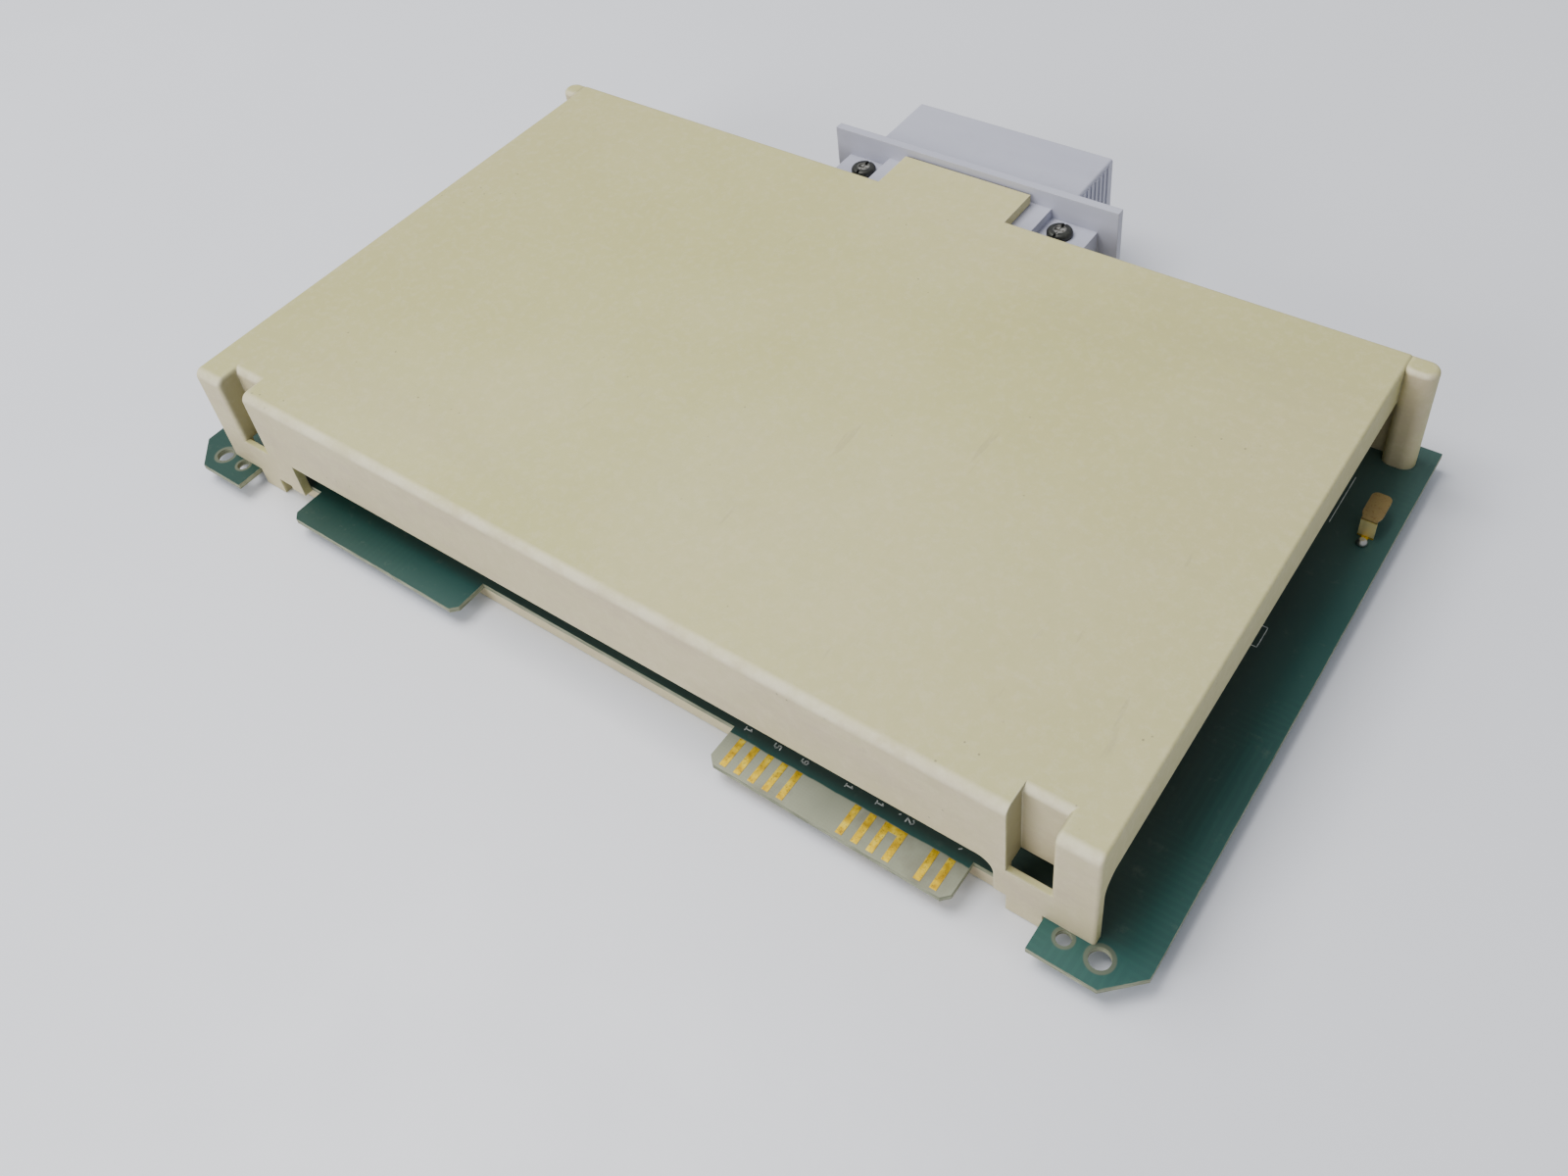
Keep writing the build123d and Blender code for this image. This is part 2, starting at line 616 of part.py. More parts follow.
NODES = {
    "circuit_board": circuit_board,
    "edge_contacts_top": lambda: contact_fingers(BOARD_TOP_Z),
    "edge_contacts_bottom": lambda: contact_fingers(BOARD_BOTTOM_Z - 0.08),
    "top_cover": top_cover,
    "bottom_cover": bottom_cover,
    "cover_screws": cover_screws,
    "connector_housing": connector_housing,
    "connector_pins": connector_pins,
    "connector_screws": connector_screws,
    "connector_nuts": connector_nuts,
    "ground_spring_foot": spring_foot,
    "ground_spring_leaf": spring_leaf,
    "ground_spring_solder": spring_solder,
    "logic_circuits": logic_packages,
    "logic_circuit_leads": logic_leads,
    "optocouplers": optocouplers,
    "optocoupler_leads": optocoupler_leads,
    "controller_socket": controller_socket,
    "controller_chip": controller_chip,
    "crystal": crystal,
    "resistor_networks": resistor_networks,
    "axial_resistors": axial_resistors,
    "ceramic_capacitors": ceramic_capacitors,
    "electrolytic_capacitors": electrolytic_capacitors,
    "rectifier_diodes": rectifier_diodes,
    "power_converter": power_converter,
    "transformer_core": transformer_core,
    "transformer_coil": transformer_coil,
    "transformer_base": transformer_base,
    "heat_sink": heat_sink,
    "voltage_regulator": voltage_regulator,
    "regulator_screw": regulator_screw,
    "fuse_clips": fuse_clips,
    "fuse": fuse,
    "jumper_header": jumper_header,
    "jumper_shunts": jumper_shunts,
}

for node, make in NODES.items():
    save(node, make())
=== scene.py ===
import json
import math

import bmesh
import bpy
from mathutils import Euler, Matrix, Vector


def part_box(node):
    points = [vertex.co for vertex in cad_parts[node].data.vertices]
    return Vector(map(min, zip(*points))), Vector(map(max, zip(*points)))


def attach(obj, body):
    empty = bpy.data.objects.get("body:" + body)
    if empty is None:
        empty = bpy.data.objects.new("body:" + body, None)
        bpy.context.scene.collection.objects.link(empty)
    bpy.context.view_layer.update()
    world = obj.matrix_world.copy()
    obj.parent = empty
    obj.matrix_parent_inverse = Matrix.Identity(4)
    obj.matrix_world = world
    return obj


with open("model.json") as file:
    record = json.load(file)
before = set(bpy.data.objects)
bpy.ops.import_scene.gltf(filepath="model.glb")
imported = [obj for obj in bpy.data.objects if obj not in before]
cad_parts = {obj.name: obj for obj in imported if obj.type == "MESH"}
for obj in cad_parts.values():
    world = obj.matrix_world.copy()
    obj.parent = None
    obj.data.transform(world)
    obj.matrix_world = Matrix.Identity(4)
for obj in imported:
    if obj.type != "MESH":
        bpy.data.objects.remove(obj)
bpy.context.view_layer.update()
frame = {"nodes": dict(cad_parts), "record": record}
NODES = frame["nodes"]
RECORD = frame["record"]
MM = 0.001
BOARD_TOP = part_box("circuit_board")[1].z

# regions of the part that differ in colour, in metres; the left and right pockets mirror each other
TONGUE_X, TONGUE_Y = (0.0420, 0.1080), (-0.1100, -0.0974)
POCKET_X, POCKET_Y = (0.1150, 0.1265), (-0.0980, -0.0922)
COVERED_HALF_X, COVERED_NEAR_Y = 0.134, -0.0950
BEYOND = 1.0
# heights of the ground spring's foot and leaf over the board
FOOT_Z = (BOARD_TOP + 0.6 * MM, BOARD_TOP + 5.6 * MM)
LEAF_Z = (BOARD_TOP + 5.85 * MM, BOARD_TOP + 9 * MM)
# width of the mask-free rim round each pair of ear holes, in the record's order of mounts
EAR_HOLES = [mount for mount in RECORD["mounts"] if mount["kind"] == "bolt_pattern"]
EAR_RIMS = (0.75 * MM, 0.60 * MM)

INK_LIFT, INK_THICKNESS = 0.015 * MM, 0.02 * MM
# contact numbers, in millimetres
DIGIT_HEIGHT, DIGIT_ASPECT, DIGIT_BACK, DIGIT_STROKE = 1.75, 0.72, 0.85, 0.30
NUMBER_Y = -94.9
CONTACT_NUMBERS = (("1", 46.6), ("5", 54.9), ("9", 62.5), ("1", 74.4), ("1", 82.5), ("2", 90.3))
OUTLINE_STROKE = 0.22
BOARD_OUTLINES = (
    [(131.2, -7.5), (133.3, -7.5), (133.3, -14.0), (131.2, -14.0)],
    [(132.8, 31.0), (132.8, 48.5)],
    [(87.4, -94.7), (87.7, -94.5)],
    [(102.5, -94.9), (103.0, -94.5)],
)
# strokes of each digit in a unit square
DIGITS = {
    "1": [[(0.2, 0.8), (0.5, 1.0), (0.5, 0.0)], [(0.2, 0.0), (0.8, 0.0)]],
    "2": [[(0.1, 0.85), (0.35, 1.0), (0.7, 1.0), (0.9, 0.75), (0.1, 0.0), (0.9, 0.0)]],
    "5": [[(0.9, 1.0), (0.15, 1.0), (0.15, 0.55), (0.65, 0.6), (0.9, 0.35), (0.65, 0.0), (0.1, 0.05)]],
    "9": [[(0.9, 0.6), (0.35, 0.45), (0.1, 0.75), (0.4, 1.0), (0.85, 0.9), (0.9, 0.4), (0.6, 0.0),
           (0.2, 0.05)]],
}


# ---- node helpers -------------------------------------------------------------------------
class Graph:
    """A material and short ways to add shader nodes to it."""

    def __init__(self, name):
        self.material = bpy.data.materials.new(name)
        self.material.use_nodes = True
        self.tree = self.material.node_tree
        self.shader = self.tree.nodes["Principled BSDF"]
        self.place = self.tree.nodes.new("ShaderNodeTexCoord").outputs["Object"]

    def link(self, source, target):
        self.tree.links.new(source, target)

    def add(self, kind, **values):
        node = self.tree.nodes.new(kind)
        for key, value in values.items():
            setattr(node, key, value)
        return node

    def feed(self, socket, value):
        if isinstance(value, bpy.types.NodeSocket):
            self.link(value, socket)
        else:
            socket.default_value = value

    def math(self, operation, a, b=0.0, clamp=False):
        node = self.add("ShaderNodeMath", operation=operation, use_clamp=clamp)
        self.feed(node.inputs[0], a)
        self.feed(node.inputs[1], b)
        return node.outputs[0]

    def times(self, a, b, clamp=False):
        return self.math("MULTIPLY", a, b, clamp)

    def magnitude(self, value):
        return self.math("ABSOLUTE", value)

    def distance(self, a, b):
        """Length of the sides a and b of a right angle."""
        return self.math("SQRT", self.math("ADD", self.times(a, a), self.times(b, b)))

    def stretched(self, scale, rotation=(0, 0, 0)):
        """Object coordinates, scaled and turned."""
        node = self.add("ShaderNodeMapping")
        self.link(self.place, node.inputs["Vector"])
        node.inputs["Scale"].default_value = scale
        node.inputs["Rotation"].default_value = rotation
        return node.outputs["Vector"]

    def noise(self, scale, detail=3.0, roughness=0.55, vector=None, distortion=0.0):
        node = self.add("ShaderNodeTexNoise")
        self.link(vector or self.place, node.inputs["Vector"])
        node.inputs["Scale"].default_value = scale
        node.inputs["Detail"].default_value = detail
        node.inputs["Roughness"].default_value = roughness
        node.inputs["Distortion"].default_value = distortion
        return node.outputs["Fac"]

    def cells(self, scale):
        """Distance to the nearest of many scattered points."""
        node = self.add("ShaderNodeTexVoronoi", feature="F1")
        self.link(self.place, node.inputs["Vector"])
        node.inputs["Scale"].default_value = scale
        return node.outputs["Distance"]

    def ramp(self, value, stops):
        """Colour ramp through (position, colour) stops; a single number is a grey."""
        node = self.add("ShaderNodeValToRGB")
        elements = node.color_ramp.elements
        while len(elements) < len(stops):
            elements.new(0.5)
        for element, (position, colour) in zip(elements, stops):
            element.position = position
            grey = (colour, colour, colour) if isinstance(colour, (int, float)) else colour
            element.color = (*grey, 1.0)
        self.link(value, node.inputs["Fac"])
        return node.outputs["Color"]

    def rise(self, value, low, high):
        """0 up to low, then rising to 1 at high."""
        return self.ramp(value, [(low, 0.0), (high, 1.0)])

    def fall(self, value, low, high):
        """1 up to low, then falling to 0 at high."""
        return self.ramp(value, [(low, 1.0), (high, 0.0)])

    def mix(self, factor, a, b):
        node = self.add("ShaderNodeMix", data_type="RGBA", blend_type="MIX")
        self.feed(node.inputs["Factor"], factor)
        for socket, value in ((node.inputs["A"], a), (node.inputs["B"], b)):
            self.feed(socket, (*value, 1.0) if isinstance(value, tuple) else value)
        return node.outputs["Result"]

    def tint(self, colour, where, amount, other):
        """The colour moved towards another by the amount, where the mask is 1."""
        return self.mix(self.times(where, amount), colour, other)

    def axis(self, name):
        """One object coordinate."""
        node = self.add("ShaderNodeSeparateXYZ")
        self.link(self.place, node.inputs[0])
        return node.outputs[name]

    def band(self, value, low, high, soft):
        """1 between low and high, falling to 0 over soft on each side."""
        rise = self.add("ShaderNodeMapRange", clamp=True)
        self.link(value, rise.inputs["Value"])
        rise.inputs["From Min"].default_value = low - soft
        rise.inputs["From Max"].default_value = low
        fall = self.add("ShaderNodeMapRange", clamp=True)
        self.link(value, fall.inputs["Value"])
        fall.inputs["From Min"].default_value = high + soft
        fall.inputs["From Max"].default_value = high
        return self.times(rise.outputs[0], fall.outputs[0])

    def facing(self, axis):
        """How far the surface faces along one axis, from -1 to 1."""
        geometry = self.add("ShaderNodeNewGeometry")
        split = self.add("ShaderNodeSeparateXYZ")
        self.link(geometry.outputs["Normal"], split.inputs[0])
        return split.outputs[axis]

    def soft_edge(self, radius, samples=4):
        """Shading normal rounded over sharp edges."""
        bevel = self.add("ShaderNodeBevel", samples=samples)
        bevel.inputs["Radius"].default_value = radius
        return bevel.outputs[0]

    def edges(self, radius, samples=6):
        """0 on flat faces, rising towards 1 on rounded-over sharp edges."""
        geometry = self.add("ShaderNodeNewGeometry")
        dot = self.add("ShaderNodeVectorMath", operation="DOT_PRODUCT")
        self.link(self.soft_edge(radius, samples), dot.inputs[0])
        self.link(geometry.outputs["Normal"], dot.inputs[1])
        return self.times(self.math("SUBTRACT", 1.0, dot.outputs["Value"]), 4.0, clamp=True)

    def bump(self, height, strength, distance, normal=None):
        node = self.add("ShaderNodeBump")
        node.inputs["Strength"].default_value = strength
        node.inputs["Distance"].default_value = distance
        self.link(height, node.inputs["Height"])
        if normal is not None:
            self.link(normal, node.inputs["Normal"])
        return node.outputs["Normal"]

    def finish(self, colour, roughness, normal, **constants):
        """Connect the shader; constants are set on its own sockets."""
        self.link(colour, self.shader.inputs["Base Color"])
        self.link(roughness, self.shader.inputs["Roughness"])
        self.link(normal, self.shader.inputs["Normal"])
        for key, value in constants.items():
            self.shader.inputs[key].default_value = value
        return self.material


def srgb(r, g, b):
    """Linear colour from 0-255 display values."""
    def linear(v):
        v /= 255
        return v / 12.92 if v <= 0.04045 else ((v + 0.055) / 1.055) ** 2.4
    return (linear(r), linear(g), linear(b))


# ---- materials ----------------------------------------------------------------------------
def cover_plastic():
    """Aged cream moulding: cloudy yellowing, fine grain, dark specks, handling marks, worn edges; painted
    shade on right-facing faces and latch pocket walls, a painted highlight along the front edge.
    """
    g = Graph("cover_plastic")
    x, y = g.axis("X"), g.axis("Y")
    colour = g.ramp(g.noise(9, 4, 0.6), [(0.30, srgb(194, 189, 124)), (0.50, srgb(202, 197, 137)),
                                         (0.72, srgb(209, 204, 152))])
    patch = g.rise(g.noise(31, 5, 0.65, distortion=0.6), 0.40, 0.70)
    colour = g.tint(colour, patch, 0.30, srgb(196, 195, 136))
    pink = g.rise(g.noise(14, 3), 0.45, 0.66)
    colour = g.tint(colour, pink, 0.22, srgb(216, 200, 160))

    # the far half and both ends are yellower and duller; faces turned to +X get painted shade
    far = g.times(g.math("ADD", y, 0.03), 9.0, clamp=True)
    colour = g.tint(colour, far, 0.16, srgb(190, 181, 122))
    ends = g.times(g.math("SUBTRACT", g.magnitude(x), 0.055), 11.0, clamp=True)
    colour = g.tint(colour, ends, 0.30, srgb(172, 165, 118))
    # painted shade: faces turned to +X are darkened
    shaded_right_faces = g.math("MAXIMUM", g.facing("X"), 0.0)
    colour = g.tint(colour, shaded_right_faces, 0.30, srgb(150, 143, 102))

    # the front and back walls are less yellow than the top
    front = g.times(g.facing("Y"), -1.0, clamp=True)
    colour = g.tint(colour, g.magnitude(g.facing("Y")), 0.75, srgb(202, 187, 158))

    # fine mottling everywhere, brown smears on the front wall
    haze = g.rise(g.noise(260, 4, 0.8), 0.35, 0.65)
    colour = g.tint(colour, haze, 0.24, srgb(184, 184, 128))
    bloom = g.rise(g.noise(420, 3, 0.8), 0.48, 0.66)
    colour = g.tint(colour, bloom, 0.18, srgb(224, 216, 186))
    smear = g.rise(g.noise(38, 5, 0.7, g.stretched((1.0, 1.0, 2.5))), 0.48, 0.70)
    colour = g.tint(colour, g.times(smear, front), 0.40, srgb(176, 156, 138))

    # painted shade on the side walls of the two latch pockets
    shaded_pocket_walls = g.times(g.band(g.magnitude(x), *POCKET_X, 0.2 * MM), g.band(y, *POCKET_Y, 0.4 * MM))
    shaded_pocket_walls = g.times(shaded_pocket_walls, g.magnitude(g.facing("X")))
    colour = g.tint(colour, shaded_pocket_walls, 0.65, srgb(134, 128, 108))

    # long streaks and small dark specks
    streak = g.rise(g.noise(5, 6, 0.7, g.stretched((1.0, 7.0, 4.0), (0, 0, 0.35))), 0.58, 0.76)
    colour = g.tint(colour, streak, 0.16, srgb(168, 158, 128))
    speck = g.times(g.fall(g.cells(300), 0.05, 0.10), g.rise(g.noise(45, 1), 0.62, 0.66))
    colour = g.tint(colour, speck, 0.55, srgb(92, 84, 70))

    # rubbed pale on sharp edges, pale along the rounded front edge as wear and a painted highlight, and a few
    # thin scuffs
    # painted highlight, partly wear, on the rounded front edge
    front_edge_highlight = g.times(g.times(front, g.facing("Z")), 2.4, clamp=True)
    worn_and_highlit = g.math("MAXIMUM", g.edges(0.9 * MM), front_edge_highlight)
    wear = g.times(worn_and_highlit, g.ramp(g.noise(120, 4, 0.7), [(0.36, 0.35), (0.60, 1.0)]))
    colour = g.tint(colour, wear, 0.55, srgb(240, 234, 208))
    scuff = g.rise(g.noise(60, 3, 0.5, g.stretched((3.0, 0.6, 1.0), (0, 0, 0.6))), 0.70, 0.74)
    colour = g.tint(colour, scuff, 0.16, srgb(128, 118, 100))

    rough = g.ramp(g.noise(26, 4), [(0.3, 0.50), (0.7, 0.64)])
    grain = g.math("ADD", g.times(g.noise(1500, 2), 0.6), g.times(g.cells(1100), 0.5))
    ripple = g.bump(g.noise(30, 2), 0.10, 0.6 * MM, g.soft_edge(0.5 * MM))
    return g.finish(colour, rough, g.bump(grain, 0.16, 0.08 * MM, ripple), IOR=1.49)


def track_lines(g, direction):
    """Parallel copper tracks along one axis that step sideways from one square cell to the next."""
    pitch, jog_scale, jog = 1.9 * MM, 60, 0.02
    lines_per_pitch = 0.314
    squares = g.add("ShaderNodeTexVoronoi", feature="F1", distance="CHEBYCHEV")
    g.link(g.place, squares.inputs["Vector"])
    squares.inputs["Scale"].default_value = jog_scale
    shift = g.add("ShaderNodeVectorMath", operation="MULTIPLY_ADD")
    g.link(squares.outputs["Position"], shift.inputs[0])
    shift.inputs[1].default_value = (jog, jog, 0.0)
    g.link(g.place, shift.inputs[2])
    wave = g.add("ShaderNodeTexWave", wave_type="BANDS", bands_direction=direction)
    g.link(shift.outputs[0], wave.inputs["Vector"])
    wave.inputs["Scale"].default_value = lines_per_pitch / pitch
    return g.rise(wave.outputs["Fac"], 0.60, 0.70)


def fibre_lines(g, direction):
    """One direction of the laminate's glass weave."""
    wave = g.add("ShaderNodeTexWave", wave_type="BANDS", bands_direction=direction)
    g.link(g.place, wave.inputs["Vector"])
    wave.inputs["Scale"].default_value = 420
    wave.inputs["Distortion"].default_value = 0.4
    return wave.outputs["Fac"]


def board_laminate():
    """Solder mask over copper tracks, bare glass-fibre laminate on the contact tongue and on cut edges."""
    g = Graph("board_laminate")
    x, y = g.axis("X"), g.axis("Y")

    # tracks seen faintly under the mask
    choice = g.rise(g.noise(22, 0), 0.495, 0.505)
    copper = g.mix(choice, track_lines(g, "X"), track_lines(g, "Y"))
    covered = g.rise(g.noise(17, 1, vector=g.stretched((1, 1, 0.1))), 0.44, 0.47)
    copper = g.times(copper, covered)
    mask = g.ramp(g.noise(12, 4), [(0.3, srgb(32, 76, 73)), (0.7, srgb(39, 86, 81))])
    mask = g.tint(mask, copper, 0.05, srgb(70, 134, 112))

    # painted shade and dust grey the board under the cover, painted shade darkens the left end and painted
    # light makes the far side paler
    shade_and_dust_under_cover = g.times(g.band(g.magnitude(x), -BEYOND, COVERED_HALF_X, 9 * MM),
                    g.band(y, COVERED_NEAR_Y, BEYOND, 3 * MM))
    mask = g.tint(mask, shade_and_dust_under_cover, 0.62, srgb(68, 72, 67))
    painted_shade_left_end = g.times(g.math("SUBTRACT", -0.02, x), 14.0, clamp=True)
    mask = g.tint(mask, painted_shade_left_end, 0.85, srgb(12, 56, 48))
    painted_light_far_side = g.times(y, 12.0, clamp=True)
    mask = g.tint(mask, painted_light_far_side, 0.65, srgb(82, 110, 104))

    # greyish rims round the ear holes, where the mask stops short
    for mount, rim in zip(EAR_HOLES, EAR_RIMS):
        across = g.math("SUBTRACT", g.magnitude(x), mount["dims"]["spacing_x_mm"] / 2 * MM)
        along = g.math("SUBTRACT", y, mount["pos_m"][1])
        ring = g.band(g.distance(across, along), 0.0, mount["dims"]["hole_r_mm"] * MM + rim, 0.3 * MM)
        mask = g.tint(mask, ring, 0.75, srgb(102, 106, 88))

    weave = g.times(fibre_lines(g, "X"), fibre_lines(g, "Y"))
    glass_fibre = g.ramp(g.noise(60, 3), [(0.3, srgb(140, 145, 126)), (0.7, srgb(156, 160, 140))])
    glass_fibre = g.tint(glass_fibre, weave, 0.22, srgb(140, 138, 118))
    grime = g.rise(g.noise(95, 3), 0.50, 0.68)
    glass_fibre = g.tint(glass_fibre, grime, 0.45, srgb(106, 100, 84))
    wander = g.math("ADD", y, g.times(g.noise(160, 2), 0.7 * MM))
    bare = g.times(g.band(x, *TONGUE_X, 0.2 * MM), g.band(wander, *TONGUE_Y, 0.3 * MM))
    side = g.fall(g.magnitude(g.facing("Z")), 0.35, 0.60)
    edge_colour = g.ramp(g.noise(900, 2, vector=g.stretched((0.2, 0.2, 1.6))),
                         [(0.35, srgb(108, 113, 90)), (0.65, srgb(150, 153, 128))])
    colour = g.mix(side, g.mix(bare, mask, glass_fibre), edge_colour)
    worn = g.times(g.edges(0.25 * MM, 4), g.rise(g.noise(300, 2), 0.45, 0.6))
    colour = g.tint(colour, worn, 0.5, srgb(176, 172, 140))
    dust = g.rise(g.noise(240, 5, 0.7), 0.60, 0.80)
    colour = g.tint(colour, dust, 0.12, srgb(170, 168, 152))

    rough = g.mix(g.math("MAXIMUM", bare, side), g.ramp(g.noise(40, 3), [(0.3, 0.42), (0.7, 0.55)]),
                  (0.62, 0.62, 0.62))
    height = g.math("ADD", g.times(copper, 0.25), g.times(g.times(weave, bare), 0.5))
    normal = g.bump(height, 0.12, 0.03 * MM)
    return g.finish(colour, rough, g.bump(g.noise(260, 2), 0.08, 0.05 * MM, normal), IOR=1.42)


def gold_plating():
    """Plated contact metal with wiping scratches and dull pits; the ground spring's foot carries a painted
    highlight and its leaf is browned.
    """
    g = Graph("gold_plating")
    scratch = g.noise(900, 3, 0.6, g.stretched((1.0, 0.06, 0.3)))
    tarnish = g.noise(420, 4, 0.6)
    colour = g.ramp(tarnish, [(0.30, srgb(188, 146, 16)), (0.55, srgb(232, 196, 36)),
                              (0.75, srgb(248, 228, 92))])
    z = g.axis("Z")
    # painted highlight: the spring's foot is painted pale gold
    highlit_foot = g.band(z, *FOOT_Z, 0.1 * MM)
    colour = g.tint(colour, highlit_foot, 0.85, srgb(255, 240, 176))
    leaf = g.band(z, *LEAF_Z, 0.1 * MM)
    colour = g.tint(colour, leaf, 0.90, srgb(146, 126, 92))
    pit = g.times(g.rise(g.noise(1500, 3, 0.7), 0.56, 0.64), g.math("SUBTRACT", 1.0, highlit_foot))
    colour = g.tint(colour, pit, 0.55, srgb(120, 88, 34))
    rough = g.ramp(g.math("ADD", g.times(scratch, 0.5), g.times(tarnish, 0.5)),
                   [(0.35, 0.34), (0.65, 0.56)])
    return g.finish(colour, rough, g.bump(scratch, 0.18, 0.02 * MM, g.soft_edge(0.06 * MM)), Metallic=0.55)


def connector_plastic():
    """Pale lavender-grey moulding with faint flow marks, dirt and pale edges."""
    g = Graph("connector_plastic")
    flow = g.noise(20, 4, 0.55, g.stretched((0.5, 2.0, 1.0)))
    colour = g.ramp(flow, [(0.3, srgb(180, 181, 198)), (0.7, srgb(192, 194, 209))])
    dirt = g.rise(g.noise(110, 5, 0.7), 0.56, 0.78)
    colour = g.tint(colour, dirt, 0.14, srgb(132, 130, 132))
    worn = g.times(g.edges(0.5 * MM), g.ramp(g.noise(200, 3), [(0.4, 0.1), (0.6, 1.0)]))
    colour = g.tint(colour, worn, 0.4, srgb(216, 216, 224))
    rough = g.ramp(g.noise(50, 4), [(0.3, 0.42), (0.7, 0.56)])
    return g.finish(colour, rough, g.bump(g.noise(1300, 2), 0.14, 0.05 * MM, g.soft_edge(0.3 * MM)), IOR=1.5)


def black_screw():
    """Blackened screw: dark shoulders, bright worn metal in the middle of the head."""
    head_radius, ragged = 3.75 * MM, 0.6 * MM
    g = Graph("black_screw")
    low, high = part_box("connector_screws")
    base = g.ramp(g.noise(400, 4, 0.6), [(0.35, srgb(34, 35, 34)), (0.70, srgb(66, 67, 62))])
    x = g.math("SUBTRACT", g.magnitude(g.math("SUBTRACT", g.axis("X"), (low.x + high.x) / 2)),
               (high.x - low.x) / 2 - head_radius)
    y = g.math("SUBTRACT", g.axis("Y"), (low.y + high.y) / 2)
    radius = g.math("ADD", g.distance(x, y), g.times(g.noise(900, 2), ragged))
    worn = g.fall(g.times(radius, 1.5 / head_radius), 0.74, 0.92)
    colour = g.mix(worn, base, srgb(158, 157, 153))
    rough = g.ramp(g.noise(300, 3), [(0.3, 0.32), (0.7, 0.5)])
    return g.finish(colour, rough, g.bump(g.noise(700, 3), 0.25, 0.04 * MM), Metallic=0.4)


def fuse_glass():
    """Clear tube in the middle, plated metal caps at both ends, chosen by position along the fuse."""
    cap = 5 * MM
    g = Graph("fuse_glass")
    low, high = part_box("fuse")
    caps = g.math("SUBTRACT", 1.0, g.band(g.axis("X"), low.x + cap, high.x - cap, 0.1 * MM))
    plated = g.ramp(g.noise(300, 4), [(0.3, srgb(170, 168, 160)), (0.7, srgb(206, 204, 198))])
    colour = g.mix(caps, srgb(206, 214, 210), plated)
    g.link(caps, g.shader.inputs["Metallic"])
    rough = g.ramp(g.noise(120, 3), [(0.3, 0.08), (0.7, 0.22)])
    return g.finish(colour, rough, g.bump(g.noise(200, 2), 0.05, 0.03 * MM))


def capacitor_sleeve():
    """Blue shrink sleeve with a pale polarity stripe down one side and a bare metal top."""
    g = Graph("capacitor_sleeve")
    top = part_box("electrolytic_capacitors")[1].z
    sleeve = g.ramp(g.noise(40, 4), [(0.3, srgb(24, 42, 92)), (0.7, srgb(34, 54, 110))])
    stripe = g.rise(g.facing("X"), 0.86, 0.90)
    colour = g.tint(sleeve, stripe, 0.85, srgb(202, 206, 212))
    bare = g.times(g.band(g.axis("Z"), top - 0.4 * MM, top + MM, 0.1 * MM),
                   g.rise(g.facing("Z"), 0.90, 0.95))
    brushed = g.ramp(g.noise(600, 4, 0.6, g.stretched((1, 0.1, 1))),
                     [(0.3, srgb(164, 164, 164)), (0.7, srgb(206, 206, 206))])
    colour = g.mix(bare, colour, brushed)
    g.link(bare, g.shader.inputs["Metallic"])
    rough = g.ramp(g.noise(70, 4), [(0.3, 0.26), (0.7, 0.40)])
    return g.finish(colour, rough, g.bump(g.noise(320, 2), 0.12, 0.05 * MM))


def resistor_body():
    """Tan resistor body with coloured bands; the leads beyond the body are tinned metal."""
    half_body, half_band = 4.12 * MM, 0.32 * MM
    bands = ((-2.9, srgb(140, 60, 30)), (-1.5, srgb(32, 30, 30)), (-0.1, srgb(176, 40, 32)),
             (2.4, srgb(196, 156, 60)))
    g = Graph("resistor_body")
    low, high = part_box("axial_resistors")
    y = g.math("SUBTRACT", g.axis("Y"), (low.y + high.y) / 2)
    colour = g.ramp(g.noise(200, 4), [(0.3, srgb(196, 168, 118)), (0.7, srgb(214, 188, 140))])
    for offset, band_colour in bands:
        middle = offset * MM
        colour = g.mix(g.band(y, middle - half_band, middle + half_band, 0.05 * MM), colour, band_colour)
    lead = g.math("SUBTRACT", 1.0, g.band(y, -half_body, half_body, 0.02 * MM))
    tinned = g.ramp(g.noise(400, 3), [(0.3, srgb(168, 166, 158)), (0.7, srgb(204, 202, 194))])
    colour = g.mix(lead, colour, tinned)
    g.link(lead, g.shader.inputs["Metallic"])
    rough = g.ramp(g.noise(90, 3), [(0.3, 0.26), (0.7, 0.38)])
    return g.finish(colour, rough, g.bump(g.noise(300, 2), 0.1, 0.05 * MM))


def moulded(name, light, dark, rough, grain=700, grain_depth=0.05, wear_colour=None, wear=0.35, speck=0.0):
    """Moulded plastic or coating: two-tone mottling, fine grain, paler edges, optional dust."""
    g = Graph(name)
    colour = g.ramp(g.noise(28, 5, 0.6), [(0.32, dark), (0.68, light)])
    if speck:
        colour = g.tint(colour, g.rise(g.noise(520, 5, 0.7), 0.60, 0.74), speck, srgb(176, 172, 160))
    if wear_colour:
        worn = g.times(g.edges(0.35 * MM), g.ramp(g.noise(260, 3), [(0.35, 0.1), (0.65, 1.0)]))
        colour = g.tint(colour, worn, wear, wear_colour)
    roughness = g.ramp(g.noise(60, 4), [(0.3, rough - 0.07), (0.7, rough + 0.07)])
    normal = g.bump(g.noise(grain, 3), 0.2, grain_depth * MM, g.soft_edge(0.18 * MM))
    return g.finish(colour, roughness, normal)


def metal(name, light, dark, rough, direction=(1.0, 1.0, 0.15), scratch_scale=500):
    """Brushed or plated metal with drawn scratches and dull patches."""
    g = Graph(name)
    brushed = g.noise(scratch_scale, 4, 0.65, g.stretched(direction))
    patch = g.noise(90, 4, 0.6)
    colour = g.ramp(g.math("ADD", g.times(brushed, 0.4), g.times(patch, 0.6)),
                    [(0.35, dark), (0.62, light)])
    roughness = g.ramp(brushed, [(0.3, rough - 0.08), (0.7, rough + 0.10)])
    return g.finish(colour, roughness, g.bump(brushed, 0.15, 0.03 * MM, g.soft_edge(0.12 * MM)), Metallic=1.0)


